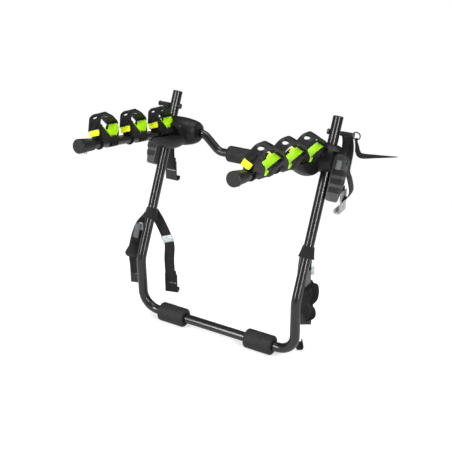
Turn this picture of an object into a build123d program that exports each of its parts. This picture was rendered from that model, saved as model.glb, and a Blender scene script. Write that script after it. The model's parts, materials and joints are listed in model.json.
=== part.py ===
from build123d import *
from math import sin, cos, tan, radians
import os

# Trunk mounted rack for three bicycles, in mm.
# Origin: middle of the lower bar's axis. X runs along the bars, Y points to the car, Z is up.

# Lower frame, one bent tube
tube_d = 22.0
tube_wall = 1.5
upright_x = 200.0
leg_height = 127.0
leg_setback = 3.3
upright_len = 399.0
upright_lean = 25.9
corner_bend = 42.0
knee_bend = 55.0
pivot_down = 87.0

# Clearances
fit_gap = 0.05
run_gap = 0.3
cut_over = 2.0

# Upper frame, one bent tube with both arms and the cross bar
arm_tube_d = 19.0
arm_wall = 1.5
arm_x = 170.0
arm_rise = 10.9
arm_len = 357.0
cross_back = 14.0
cross_bend = 40.0
dip_bend = 25.0
dip_start_x = 114.0
dip_end_x = 75.0
dip_drop = 36.0

# Foam pads
low_pad_d = 44.5
low_pad_len = 68.0
low_pad_x = 115.0
low_pad_round = 3.0
mid_pad_d = 37.0
mid_pad_len = 100.0
mid_pad_round = 4.0

# End plugs and arm caps
plug_len = 14.0
plug_head = 2.0
cap_d = 28.6
cap_face = 5.0
cap_neck_d = 24.0
cap_grip = 36.0
cap_edge = 1.2
cap_screw_d = 7.0
cap_screw_h = 3.4
cap_screw_seat = 12.6
cap_screw_shank_d = 3.0
cap_screw_in = 17.0

# Hub housing: places along X, radii and the shift of the inner end towards the cross bar
hub_split_x = 186.0
hub_x_list = (124.0, 129.0, 146.0, 168.0, 196.0, 216.0, 228.0, 232.5)
hub_r_list = (20.0, 24.5, 30.0, 32.5, 31.5, 29.0, 23.0, 14.0)
hub_shift = 8.0
hub_shift_shares = (1.0, 0.8, 0.3, 0.0, 0.0, 0.0, 0.0, 0.0)
sleeve_end = 126.0
sleeve_r = 30.0
sleeve_place_shares = (0.08, 0.46, 0.77, 1.0)
sleeve_r_shares = (1.0, 0.87, 0.56, 0.38)
sleeve_drop_shares = (0.1, 0.3, 0.15, 0.0)

# Clamp bolt and release lever
bolt_d = 8.0
bolt_gap = 0.1
nut_d = 15.0
nut_h = 5.0
nut_x = 178.0
eye_d = 16.0
eye_w = 9.0
lever_pin_x = 228.5
lever_pin_d = 5.0
cam_r = 13.0
lever_deep = 24.0
lever_len = 88.0
lever_taper_at = 48.0
lever_taper = 7.0
lever_round = 6.0
grip_count = 3
grip_h = 11.5
grip_step = 18.5
grip_first = 27.0
grip_deep = 2.2
grip_proud = 1.0
grip_margin = 3.0

# Anchor bolts near the tops of the uprights
anchor_down = 32.0
anchor_d = 6.0
anchor_head_d = 12.0
anchor_head_h = 5.0
ring_r = 8.0
ring_wire = 2.6

# Cradles: places along the arms, roll and yaw, body, liner and ladder strap
cradle_first = 98.0
cradle_step = 101.0
cradle_count = 3
cradle_back = 20.0
cradle_roll = 20.0
cradle_yaw = 12.0
saddle_w = 24.0
saddle_r = 13.2
saddle_front = 21.4
saddle_rear = 31.0
hoop_w = 2.8
hoop_r = 12.6
claw_w = 4.0
claw_step = 8.0
claw_low = 10.5
horn_front = 32.0
horn_front_h = 24.0
seat_h = 10.0
saddle_low = 3.0
foot_low = 2.0
foot_x = 27.0
foot_h = 12.0
horn_tip_x = 29.5
horn_tip_h = 24.5
horn_top_x = 24.5
horn_top_h = 32.0
horn_peak_x = 20.0
horn_peak_h = 35.5
rear_top_h = 35.0
rear_back = 52.8
rear_back_h = 28.0
rear_low = 47.0
rear_low_h = 14.0
rear_foot = 40.0
rear_foot_h = 2.0
corner_round = 1.5
liner_skin = 3.0
liner_out = 6.0
fan_front_h = 18.5
stem_front = 9.5
stem_rear = 14.5
stem_low = 1.0
fan_rear = 30.0
fan_rear_h = 6.0
pocket_gap = 0.8
swing_r = 13.5
seat_front = 17.0
seat_front_h = 33.0
seat_low_front = 13.0
seat_low_rear = 19.0
seat_rear = 47.0
liner_t = 2.6
strap_w = 25.0
strap_t = 4.0
strap_hole_d = 13.0
strap_rise = 8.5
strap_back = 53.0
strap_rear = 35.0
strap_rear_h = 49.5
strap_top = 4.0
strap_top_h = 58.5
strap_front = 17.0
strap_front_h = 51.5
strap_end = 34.0
strap_end_h = 25.0
hole_shares = (0.31, 0.52, 0.72)
button_share = 0.92
button_d = 17.0
button_dish_d = 11.0
button_h = 3.0
button_dish = 1.2
tab_x = 36.5
tab_h = 17.5
tab_low_x = 39.0
tab_low_h = 15.0
tab_lip_x = 41.5
tab_lip_h = 16.2
tab_bend = 3.0
tab_round = 7.0
hinge_back = 48.5
hinge_h = 29.0
hinge_pin_d = 4.0
hinge_eye_d = 8.0
hinge_eye_w = 15.0
tab_w = 20.0
tab_t = 4.0

# Webbing, hooks and blank labels; each strap's line is given across and up from where it starts
web_w = 25.0
web_t = 2.0
web_turn = 14.0
face_turn = 30.0
wrap_up = 110.0
wrap_h = 26.0
wrap_back = 3.0
left_inner_line = ((10.0, -4.0), (36.0, -58.0), (42.0, -80.0), (40.0, -120.0), (42.0, -180.0))
left_outer_line = ((-10.0, -6.0), (-29.0, -36.0), (-42.0, -76.0), (-50.0, -114.0), (-48.0, -168.0))
left_fold_line = ((-50.0, -88.0), (-58.0, -104.0), (-66.0, -122.0), (-50.0, -124.0))
right_neck_line = ((5.0, -8.0), (4.0, -50.0), (2.0, -94.0))
right_neck_w = 12.0
right_outer_line = ((2.0, -84.0), (1.0, -130.0), (1.0, -155.0))
right_fold_line = (
    (0.0, -84.0), (14.0, -70.0), (20.0, -80.0), (19.0, -104.0), (9.0, -120.0), (15.0, -134.0), (15.0, -150.0),
    (0.0, -160.0),
)
fold_deep = 20.0
right_inner_line = ((-8.5, -2.0), (-16.0, -60.0), (-16.0, -217.0))
right_inner_back = 16.0
top_left_line = ((11.0, -26.0), (11.0, -167.0))
top_right_line = ((0.0, 60.0), (10.0, 50.0), (15.0, 24.0), (0.0, 8.0), (0.0, 0.0))
top_right_back = 15.0
top_right_twist_start = 24.0
top_right_down = 155.0
side_strap_line = (
    (-2.5, -10.5), (2.5, -10.5), (8.0, -30.0), (18.0, -35.0), (92.0, -29.0), (16.0, -46.0), (2.0, -40.0),
)
side_eye_w = 5.0
side_eye_gap = 0.6
line_bend = 16.0
fold_bend = 3.0
end_bend = 8.0
hook_w = 31.0
hook_up = 22.0
hook_down = 28.0
hook_t = 2.6
hook_lip = 14.0
hook_lip_up = 8.0
hook_slot = 4.4
hook_bend = 4.0
hook_tail = 30.0
label_w = 27.0
label_h = 17.0
label_t = 0.8
label_spot = (37.5, -62.0)
label_tilt = 18.0
tag_w = 9.0
tag_h = 20.0
tag_right_spot = (13.0, -46.0)
tag_left_spot = (-27.0, -38.0)
buckle_w = 13.0
buckle_h = 38.0
buckle_t = 7.0
buckle_round = 3.0
buckle_right_spot = (3.0, -62.0)
buckle_left_spot = (-37.0, -48.0)
buckle_left_tilt = 14.0

os.makedirs("parts", exist_ok=True)


def keep(piece, name):
    """Labels a finished solid and writes it."""
    piece.label = name
    export_step(piece, f"parts/{name}.step")
    print(name, round(piece.volume / 1000, 2))


# Shared places
lean = radians(upright_lean)
rise = radians(arm_rise)
tube_r = tube_d / 2
arm_r = arm_tube_d / 2
knee = Vector(upright_x, -leg_setback, leg_height)
up_dir = Vector(0, sin(lean), cos(lean))
fore_dir = Vector(0, -cos(lean), sin(lean))
upright_top = knee + up_dir * upright_len
pivot = upright_top - up_dir * pivot_down
anchor = upright_top - up_dir * anchor_down
arm_dir = Vector(0, -cos(rise), sin(rise))
arm_up = Vector(0, sin(rise), cos(rise))
arm_root = Vector(arm_x, pivot.Y, pivot.Z)
arm_tip = arm_root + arm_dir * arm_len
cross_y = pivot.Y + cross_back
cross_z = pivot.Z - cross_back * tan(rise)
corner_pt = Vector(arm_x, cross_y, cross_z)
dip_top = Vector(dip_start_x, cross_y, cross_z)
dip_foot = Vector(dip_end_x, cross_y, cross_z - dip_drop)
hub_plane = Plane(origin=(0, pivot.Y, pivot.Z), x_dir=(1, 0, 0), z_dir=fore_dir)
side_plane = Plane(origin=(0, pivot.Y, pivot.Z), z_dir=(1, 0, 0))


def flip(v):
    """The same point on the left side."""
    return Vector(-v.X, v.Y, v.Z)


# Lower frame
with BuildPart() as lower_frame:
    with BuildLine() as lower_path:
        FilletPolyline(
            flip(upright_top), flip(knee), (-upright_x, 0, 0), (upright_x, 0, 0), knee, upright_top,
            radius=[knee_bend, corner_bend, corner_bend, knee_bend],
        )
    with BuildSketch(Plane(origin=flip(upright_top), z_dir=-up_dir)):
        Circle(tube_r)
        Circle(tube_r - tube_wall, mode=Mode.SUBTRACT)
    sweep()
    with BuildSketch(side_plane):
        Circle(bolt_d / 2 + bolt_gap)
    extrude(amount=upright_x + tube_d, both=True, mode=Mode.SUBTRACT)
    with BuildSketch(Plane(origin=(0, anchor.Y, anchor.Z), z_dir=(1, 0, 0))):
        Circle(anchor_d / 2 + fit_gap)
    extrude(amount=upright_x + tube_d, both=True, mode=Mode.SUBTRACT)
keep(lower_frame.part, "lower_frame")

# Upper frame
with BuildPart() as upper_frame:
    with BuildLine() as upper_path:
        FilletPolyline(
            flip(arm_tip), flip(corner_pt), flip(dip_top), flip(dip_foot), dip_foot, dip_top, corner_pt,
            arm_tip,
            radius=[cross_bend, dip_bend, dip_bend, dip_bend, dip_bend, cross_bend],
        )
    with BuildSketch(Plane(origin=flip(arm_tip), z_dir=-arm_dir)):
        Circle(arm_r)
        Circle(arm_r - arm_wall, mode=Mode.SUBTRACT)
    sweep()
    screw_spot = arm_tip - arm_dir * cap_screw_in
    for side in (-1, 1):
        with BuildSketch(Plane(origin=(side * screw_spot.X, screw_spot.Y, screw_spot.Z), z_dir=-arm_up)):
            Circle(cap_screw_shank_d / 2 + fit_gap)
        extrude(amount=arm_tube_d, mode=Mode.SUBTRACT)
keep(upper_frame.part, "upper_frame")

# Foam pads
for side, word in ((-1, "left"), (1, "right")):
    with BuildPart() as low_pad:
        with BuildSketch(Plane(origin=(side * low_pad_x - low_pad_len / 2, 0, 0), z_dir=(1, 0, 0))):
            Circle(low_pad_d / 2)
            Circle(tube_r + fit_gap, mode=Mode.SUBTRACT)
        extrude(amount=low_pad_len)
        fillet(low_pad.edges().filter_by(GeomType.CIRCLE).sort_by(SortBy.RADIUS)[-2:], low_pad_round)
    keep(low_pad.part, f"bumper_pad_{word}")
with BuildPart() as mid_pad:
    with BuildSketch(Plane(origin=(-mid_pad_len / 2, cross_y, cross_z - dip_drop), z_dir=(1, 0, 0))):
        Circle(mid_pad_d / 2)
        Circle(arm_r + fit_gap, mode=Mode.SUBTRACT)
    extrude(amount=mid_pad_len)
    fillet(mid_pad.edges().filter_by(GeomType.CIRCLE).sort_by(SortBy.RADIUS)[-2:], mid_pad_round)
keep(mid_pad.part, "trunk_pad_center")

# Plugs in the upright tops
with BuildPart() as plugs:
    for side in (-1, 1):
        top = Vector(side * upright_top.X, upright_top.Y, upright_top.Z)
        with BuildSketch(Plane(origin=top, z_dir=up_dir)):
            Circle(tube_r)
        extrude(amount=plug_head)
        with BuildSketch(Plane(origin=top, z_dir=-up_dir)):
            Circle(tube_r - tube_wall - fit_gap)
        extrude(amount=plug_len)
keep(plugs.part, "upright_plugs")

# Caps on the arm ends, and their screws
bore_r = arm_r + fit_gap
screw_plane = Plane(origin=screw_spot, z_dir=-arm_up)
with BuildPart() as caps:
    with BuildSketch(Plane(origin=arm_tip, x_dir=(1, 0, 0), z_dir=arm_up)):
        with BuildLine():
            Polyline(
                (0, -cap_face), (cap_d / 2 - cap_edge, -cap_face), (cap_d / 2, cap_edge - cap_face),
                (cap_d / 2, 0),
                (cap_neck_d / 2, cap_grip), (bore_r, cap_grip), (bore_r, 0), (0, 0), close=True,
            )
        make_face()
    revolve(axis=Axis(arm_tip, arm_dir))
    with BuildSketch(screw_plane):
        Circle(cap_screw_shank_d / 2 + fit_gap)
    extrude(amount=cap_d, mode=Mode.SUBTRACT)
    with BuildSketch(screw_plane.offset(cap_screw_seat)):
        Circle(cap_screw_d / 2 + fit_gap)
    extrude(amount=cap_d, mode=Mode.SUBTRACT)
    mirror(about=Plane.YZ)
keep(caps.part, "arm_caps")
with BuildPart() as cap_screws:
    with BuildSketch(screw_plane.offset(arm_r - arm_wall)):
        Circle(cap_screw_shank_d / 2)
    extrude(amount=cap_screw_seat - arm_r + arm_wall)
    with BuildSketch(screw_plane.offset(cap_screw_seat)):
        Circle(cap_screw_d / 2)
    extrude(amount=cap_screw_h)
    chamfer(cap_screws.edges().sort_by(Axis(screw_spot, -arm_up))[-1], cap_screw_h / 4)
    mirror(about=Plane.YZ)
keep(cap_screws.part, "arm_cap_screws")

# Cradle frame: x towards the arm's cap, y outwards, z up from the arm
roll = radians(cradle_roll)
yaw = radians(cradle_yaw)
cradle_up = arm_up * cos(roll) + Vector(1, 0, 0) * sin(roll)
cradle_out = Vector(1, 0, 0) * cos(roll) - arm_up * sin(roll)
cradle_fore = arm_dir * cos(yaw) - cradle_out * sin(yaw)
arm_line = Vector(cos(yaw), sin(yaw), 0)
in_plane = Plane.XZ
half_w = saddle_w / 2
pin_r = hinge_pin_d / 2
eye_r = hinge_eye_d / 2


def cradle_place(number):
    """Where cradle 1 (at the cap) to 3 (at the hub) sits on the right arm."""
    place = cradle_first + (cradle_count - number) * cradle_step - cradle_back
    return Plane(origin=arm_root + arm_dir * place, x_dir=cradle_fore, z_dir=cradle_up)


# Ladder strap with its button: one moulding that swings on the cradle's rear pin
strap_pts = [
    (-hinge_back, hinge_h), (-strap_back, hinge_h + strap_rise), (-strap_rear, strap_rear_h),
    (-strap_top, strap_top_h),
    (strap_front, strap_front_h), (strap_end, strap_end_h),
]
strap_bends = [hinge_eye_d / 2, 3 * strap_t, 5 * strap_t, 4 * strap_t]
with BuildLine(in_plane) as strap_line:
    FilletPolyline(*strap_pts, radius=strap_bends)
strap_wire = strap_line.wire()


def strap_plane(share):
    """Plane on the strap's centre line, its normal pointing out of the strap."""
    along = strap_wire % share
    return Plane(origin=strap_wire @ share, x_dir=(0, 1, 0), z_dir=along.cross(Vector(0, 1, 0)))


with BuildPart() as ladder:
    with BuildSketch(in_plane):
        with BuildLine():
            FilletPolyline(*strap_pts, radius=strap_bends)
        trace(line_width=strap_t)
    extrude(amount=strap_w / 2, both=True)
    for side in (-1, 1):
        with BuildSketch(in_plane.offset(side * hinge_eye_w / 2)):
            with Locations((-hinge_back, hinge_h)):
                Circle(eye_r + 2 * fit_gap + strap_t / 2)
        extrude(amount=side * strap_w, mode=Mode.SUBTRACT)
    with BuildSketch(in_plane):
        with Locations((-hinge_back, hinge_h)):
            Circle(eye_r)
    extrude(amount=hinge_eye_w / 2, both=True)
    with BuildSketch(in_plane):
        with Locations((-hinge_back, hinge_h)):
            Circle(pin_r + 3 * fit_gap)
    extrude(amount=strap_w, both=True, mode=Mode.SUBTRACT)
    for share in hole_shares:
        with BuildSketch(strap_plane(share)):
            Circle(strap_hole_d / 2)
        extrude(amount=strap_t, both=True, mode=Mode.SUBTRACT)
    with BuildSketch(strap_plane(button_share)):
        Circle(button_d / 2)
    extrude(amount=strap_t / 2 + button_h)
    with BuildSketch(strap_plane(button_share).offset(strap_t / 2 + button_h - button_dish)):
        Circle(button_dish_d / 2)
    extrude(amount=button_h, mode=Mode.SUBTRACT)

# Pull tab on the strap's free end
with BuildPart() as tab:
    with BuildSketch(in_plane):
        with BuildLine():
            FilletPolyline(
                (strap_end, strap_end_h), (tab_x, tab_h), (tab_low_x, tab_low_h), (tab_lip_x, tab_lip_h),
                radius=tab_bend,
            )
        trace(line_width=tab_t)
    extrude(amount=tab_w / 2, both=True)
    with BuildSketch(Plane.XY):
        with Locations((strap_end, 0)):
            RectangleRounded(2 * (tab_lip_x - strap_end) + tab_t, tab_w, tab_round)
    extrude(amount=2 * strap_end_h, mode=Mode.INTERSECT)
    add(ladder.part, mode=Mode.SUBTRACT)

# Cradle body: saddle on the arm, two horns, seat between them, pin for the strap
with BuildSketch(in_plane) as body_outline:
    with BuildLine():
        Polyline(
            (saddle_front, -foot_low), (foot_x, foot_h), (horn_tip_x, horn_tip_h), (horn_top_x, horn_top_h),
            (horn_peak_x, horn_peak_h),
            (seat_front, seat_front_h), (-seat_low_front, seat_h), (-seat_low_rear, seat_h),
            (-seat_rear, rear_top_h),
            (-rear_back, rear_back_h), (-rear_low, rear_low_h), (-rear_foot, rear_foot_h),
            (-saddle_rear, -foot_low), close=True,
        )
    make_face()
arm_start = Plane(origin=(0, 0, 0), z_dir=arm_line)
with BuildPart() as hinge_room:
    with BuildSketch(in_plane):
        with Locations((-hinge_back, hinge_h)):
            Circle(eye_r + run_gap + fit_gap)
        with Locations((-hinge_back - rear_back / 2, hinge_h + strap_t)):
            Rectangle(rear_back, 5 * strap_t)
    extrude(amount=hinge_eye_w / 2 + run_gap, both=True)
seat_line = [
    (seat_front, seat_front_h), (-seat_low_front, seat_h), (-seat_low_rear, seat_h), (-seat_rear, rear_top_h),
]
with BuildPart() as liner:
    with BuildSketch(in_plane):
        with BuildLine():
            Polyline(*seat_line)
        trace(line_width=2 * liner_t)
        add(body_outline.sketch_local, mode=Mode.INTERSECT)
    extrude(amount=half_w)
    with BuildSketch(in_plane):
        with BuildLine():
            Polyline(*seat_line)
        trace(line_width=2 * liner_t)
        add(body_outline.sketch_local, mode=Mode.INTERSECT)
    extrude(amount=-liner_out)
    with BuildSketch(in_plane.offset(half_w)):
        with BuildLine():
            Polyline(
                (-seat_low_front, seat_h), (-stem_front, stem_low), (-stem_rear, stem_low),
                (-fan_rear, fan_rear_h),
                (-rear_low, rear_low_h + liner_out), (-rear_back, rear_back_h), (-seat_rear, rear_top_h),
                (-seat_low_rear, seat_h), close=True,
            )
        make_face()
        add(body_outline.sketch_local, mode=Mode.INTERSECT)
    extrude(amount=-liner_skin)
    with BuildSketch(in_plane.offset(-half_w)):
        with BuildLine():
            Polyline(
                (-stem_front, seat_h + liner_t), (-seat_low_front, stem_low), (-seat_low_rear, stem_low),
                (-seat_low_rear - liner_t, fan_front_h),
                close=True,
            )
        make_face()
        add(body_outline.sketch_local, mode=Mode.INTERSECT)
    extrude(amount=half_w - liner_out + liner_skin)
    with BuildSketch(arm_start):
        Circle(bore_r)
    extrude(amount=2 * rear_back, both=True, mode=Mode.SUBTRACT)
    add(hinge_room.part, mode=Mode.SUBTRACT)

with BuildPart() as cradle:
    with BuildSketch(in_plane):
        add(body_outline.sketch_local)
    extrude(amount=half_w, both=True)
    with BuildSketch(arm_start.offset(-saddle_rear)):
        Circle(saddle_r)
    extrude(amount=saddle_rear + saddle_front)
    with BuildSketch(Plane.XY.offset(-saddle_low)):
        Rectangle(4 * rear_back, 4 * saddle_w)
    extrude(amount=-saddle_w, mode=Mode.SUBTRACT)
    for number in range(3):
        with BuildSketch(arm_start.offset(-saddle_rear + claw_w / 2 + number * claw_step)):
            Circle(saddle_r)
        extrude(amount=claw_w)
    with BuildSketch(Plane.XY.offset(-claw_low)):
        Rectangle(4 * rear_back, 4 * saddle_w)
    extrude(amount=-saddle_w, mode=Mode.SUBTRACT)
    with BuildSketch(arm_start.offset(cradle_back - hoop_w / 2)):
        Circle(hoop_r)
    extrude(amount=hoop_w)
    with BuildSketch(arm_start):
        Circle(bore_r)
    extrude(amount=2 * rear_back, both=True, mode=Mode.SUBTRACT)
    add(hinge_room.part, mode=Mode.SUBTRACT)
    with BuildSketch(in_plane):
        with Locations((-hinge_back, hinge_h)):
            Circle(pin_r)
    extrude(amount=half_w, both=True)
    add(liner.part, mode=Mode.SUBTRACT)

# Room that the housing leaves for the cradle beside it
with BuildPart() as cradle_room:
    with BuildSketch(in_plane):
        add(body_outline.sketch_local)
        offset(amount=pocket_gap)
    extrude(amount=half_w + pocket_gap, both=True)
    with BuildSketch(arm_start.offset(-saddle_rear - pocket_gap)):
        Circle(saddle_r + pocket_gap)
    extrude(amount=saddle_rear + cradle_back + hoop_w + pocket_gap)
    with BuildSketch(in_plane):
        with Locations((-hinge_back, hinge_h)):
            Circle(swing_r)
    extrude(amount=strap_w / 2 + pocket_gap, both=True)

for number in range(1, cradle_count + 1):
    spot = cradle_place(number).location
    for word, piece in (("body", cradle), ("liner", liner), ("strap", ladder), ("tab", tab)):
        with BuildPart() as placed:
            add(piece.part.moved(spot))
        keep(placed.part, f"cradle_{word}_right_{number}")
        with BuildPart() as other:
            add(mirror(placed.part, about=Plane.YZ))
        keep(other.part, f"cradle_{word}_left_{number}")

# Hub housing, split where the folding part meets the part on the upright
with BuildPart() as arm_space:
    with BuildLine() as half_path:
        FilletPolyline(dip_foot, dip_top, corner_pt, arm_tip, radius=[dip_bend, cross_bend])
    with BuildSketch(Plane(origin=dip_foot, z_dir=dip_top - dip_foot)):
        Circle(bore_r)
    sweep()
with BuildPart() as housing:
    for place, radius, share in zip(hub_x_list, hub_r_list, hub_shift_shares):
        with BuildSketch(Plane(origin=(place, pivot.Y + hub_shift * share, pivot.Z), z_dir=(1, 0, 0))):
            Circle(radius)
    loft()
with BuildPart() as sleeve:
    for place, radius, drop in zip(sleeve_place_shares, sleeve_r_shares, sleeve_drop_shares):
        middle = arm_root + arm_dir * sleeve_end * place - arm_up * sleeve_r * drop
        with BuildSketch(Plane(origin=middle, z_dir=arm_dir)):
            Circle(sleeve_r * radius)
    loft()
keel_start = cradle_first - cradle_back - saddle_rear - 2 * pocket_gap
with BuildPart() as hub:
    add(housing.part)
    add(sleeve.part)
    with BuildSketch(
        Plane(
            origin=arm_root + arm_dir * (keel_start + sleeve_end) - arm_up * saddle_low, x_dir=(1, 0, 0),
            z_dir=arm_up,
        )
    ):
        Rectangle(4 * sleeve_r, 2 * sleeve_end)
    extrude(amount=2 * sleeve_r, mode=Mode.SUBTRACT)
    add(cradle_room.part.moved(cradle_place(cradle_count).location), mode=Mode.SUBTRACT)
    add(arm_space.part, mode=Mode.SUBTRACT)
    with BuildSketch(side_plane.offset(nut_x - run_gap)):
        Circle(bolt_d / 2 + bolt_gap)
    extrude(amount=lever_pin_x, mode=Mode.SUBTRACT)
with BuildPart() as shell:
    add(hub.part)
    with BuildSketch(side_plane.offset(hub_split_x - run_gap / 2)):
        Rectangle(8 * sleeve_end, 8 * sleeve_end)
    extrude(amount=lever_pin_x, mode=Mode.SUBTRACT)
    with BuildSketch(side_plane.offset(nut_x - run_gap)):
        Circle(nut_d / 2 + run_gap)
    extrude(amount=nut_h + 2 * run_gap, mode=Mode.SUBTRACT)
notch_x = lever_pin_x - cam_r - run_gap
with BuildPart() as clamp:
    add(housing.part)
    add(cradle_room.part.moved(cradle_place(cradle_count).location), mode=Mode.SUBTRACT)
    with BuildSketch(side_plane.offset(nut_x - run_gap)):
        Circle(bolt_d / 2 + bolt_gap)
    extrude(amount=lever_pin_x, mode=Mode.SUBTRACT)
    with BuildSketch(side_plane.offset(hub_split_x + run_gap / 2)):
        Rectangle(8 * sleeve_end, 8 * sleeve_end)
    extrude(amount=-lever_pin_x, mode=Mode.SUBTRACT)
    with BuildSketch(Plane(origin=knee, z_dir=up_dir)):
        Circle(tube_r + fit_gap)
    extrude(amount=upright_len, mode=Mode.SUBTRACT)
    with BuildSketch(hub_plane):
        with Locations((notch_x + lever_len, cam_r + 2 * run_gap - lever_len)):
            Rectangle(2 * lever_len, 2 * lever_len)
    extrude(amount=lever_len, both=True, mode=Mode.SUBTRACT)

# Clamp bolt with its eye
with BuildPart() as bolt:
    with BuildSketch(side_plane.offset(nut_x)):
        Circle(bolt_d / 2)
    extrude(amount=lever_pin_x - nut_x - eye_d / 4)
    with BuildSketch(side_plane.offset(nut_x)):
        RegularPolygon(nut_d / 2, 6)
    extrude(amount=nut_h)
    with BuildSketch(hub_plane):
        with Locations((lever_pin_x, 0)):
            Circle(eye_d / 2)
    extrude(amount=eye_w / 2, both=True)
    with BuildSketch(hub_plane):
        with Locations((lever_pin_x, 0)):
            Circle(lever_pin_d / 2 + bolt_gap)
    extrude(amount=eye_w, both=True, mode=Mode.SUBTRACT)

# Release lever and its rubber grips
lever_out = lever_pin_x + cam_r
lever_in = lever_pin_x - cam_r
with BuildSketch(hub_plane) as lever_outline:
    with BuildLine():
        FilletPolyline(
            (lever_in, 0), (lever_in, -lever_len), (lever_out - lever_taper, -lever_len),
            (lever_out, -lever_taper_at), (lever_out, 0),
            radius=[lever_round, lever_round, lever_round],
        )
        ThreePointArc((lever_out, 0), (lever_pin_x, cam_r), (lever_in, 0))
    make_face()
with BuildSketch(hub_plane) as lever_core:
    add(lever_outline.sketch_local)
    offset(amount=-grip_deep)
with BuildSketch(hub_plane) as grip_face:
    add(lever_outline.sketch_local)
    offset(amount=grip_proud)
with BuildSketch(hub_plane) as grip_outline:
    add(grip_face.sketch_local)
    add(lever_core.sketch_local, mode=Mode.SUBTRACT)
with BuildPart() as grips:
    for number in range(grip_count):
        middle = -grip_first - number * grip_step
        with BuildSketch(hub_plane.offset(lever_deep / 2 - grip_deep)):
            add(grip_face.sketch_local)
            with Locations((lever_in + grip_margin + lever_len, middle)):
                Rectangle(2 * lever_len, grip_h, mode=Mode.INTERSECT)
        extrude(amount=grip_deep + grip_proud / 2)
        with BuildSketch(hub_plane.offset(-lever_deep / 4)):
            add(grip_outline.sketch_local)
            with Locations((lever_pin_x + lever_len, middle)):
                Rectangle(2 * lever_len, grip_h, mode=Mode.INTERSECT)
        extrude(amount=lever_deep * 3 / 4)
with BuildPart() as lever:
    with BuildSketch(hub_plane):
        add(lever_outline.sketch_local)
    extrude(amount=lever_deep / 2, both=True)
    with BuildSketch(hub_plane):
        with Locations((lever_pin_x, 0)):
            Rectangle(4 * cam_r, eye_d + 4 * run_gap)
        with Locations((lever_pin_x, cam_r)):
            Rectangle(4 * cam_r, 2 * cam_r)
    extrude(amount=eye_w / 2 + run_gap, both=True, mode=Mode.SUBTRACT)
    with BuildSketch(hub_plane):
        with Locations((lever_pin_x, 0)):
            Circle(lever_pin_d / 2)
    extrude(amount=lever_deep / 2, both=True)
    add(grips.part, mode=Mode.SUBTRACT)

# Anchor bolt through the upright, with its ring
anchor_plane = Plane(origin=(0, anchor.Y, anchor.Z), z_dir=(1, 0, 0))
strap_in_x = upright_x + tube_r + web_t
anchor_end_x = strap_in_x + web_w + web_t
with BuildPart() as anchor_bolt:
    with BuildSketch(anchor_plane.offset(upright_x - tube_r - anchor_head_h)):
        Circle(anchor_head_d / 2)
    extrude(amount=anchor_head_h)
    with BuildSketch(anchor_plane.offset(upright_x - tube_r)):
        Circle(anchor_d / 2)
    extrude(amount=anchor_end_x - upright_x + tube_r)
    with BuildSketch(anchor_plane.offset(anchor_end_x - fit_gap)):
        Circle(anchor_head_d / 2)
    extrude(amount=anchor_head_h / 2)
    with Locations((anchor_end_x + ring_r, anchor.Y, anchor.Z)):
        Torus(ring_r, ring_wire / 2 + fit_gap, rotation=(90, 0, 0), mode=Mode.SUBTRACT)
with BuildPart() as anchor_ring:
    with Locations((anchor_end_x + ring_r, anchor.Y, anchor.Z)):
        Torus(ring_r, ring_wire / 2, rotation=(90, 0, 0))
keep(anchor_ring.part, "anchor_ring_right")

for word, piece in (
    ("hub_shell", shell), ("hub_clamp", clamp), ("clamp_bolt", bolt), ("release_lever", lever),
    ("lever_grips", grips), ("anchor_bolt", anchor_bolt),
):
    with BuildPart() as placed:
        add(piece.part)
    keep(placed.part, f"{word}_right")
    with BuildPart() as other:
        add(mirror(placed.part, about=Plane.YZ))
    keep(other.part, f"{word}_left")

# Hooks: bent plates that hang on a strap, drawn in a plane with the strap's normal across
hook_back = web_t / 2 + run_gap + hook_t / 2
hook_slot_mid = web_t / 2 + run_gap - hook_slot / 2


def hang_hook(plane, name):
    """Writes the hook whose strap comes down through this plane's origin."""
    with BuildPart() as hook:
        with BuildSketch(plane):
            with BuildLine():
                FilletPolyline(
                    (-hook_back, hook_up), (-hook_back, -hook_down), (-hook_back - hook_lip, -hook_down),
                    (-hook_back - hook_lip, hook_lip_up - hook_down), radius=[hook_bend, hook_bend],
                )
            trace(line_width=hook_t)
        extrude(amount=hook_w / 2, both=True)
        with BuildSketch(plane):
            with Locations((-hook_back, hook_slot_mid)):
                Rectangle(2 * hook_t, hook_slot)
        extrude(amount=web_w / 2 + run_gap, both=True, mode=Mode.SUBTRACT)
    keep(hook.part, name)


def turn_back(plane):
    """The strap's end, turned through the hook's slot and up behind its plate."""
    with BuildPart() as end:
        with BuildSketch(plane):
            with BuildLine():
                FilletPolyline(
                    (0, hook_up), (0, 0), (-2 * hook_back, 0), (-2 * hook_back, hook_tail),
                    radius=web_t * 3 / 5,
                )
            trace(line_width=web_t)
        extrude(amount=web_w / 2, both=True)
    return end.part


def face_plane(side, turn):
    """Upright plane through the middle of a side's wrap, turned about Z, across then up."""
    spot = knee + up_dir * wrap_up
    across = Vector(cos(radians(turn)), sin(radians(turn)), 0)
    return Plane(origin=(side * spot.X, spot.Y, spot.Z), x_dir=across, z_dir=across.cross(Vector(0, 0, 1)))


def side_of(face, point, back):
    """Plane across a flat strap at its lower end, with the strap's normal across."""
    return Plane(
        origin=face.from_local_coords((point[0], point[1], -back)), x_dir=face.z_dir, z_dir=-face.x_dir,
    )


upright_axis = {}
for side in (-1, 1):
    foot = Vector(side * knee.X, knee.Y, knee.Z)
    upright_axis[side] = Plane(origin=foot, x_dir=(1, 0, 0), z_dir=up_dir)

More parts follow.
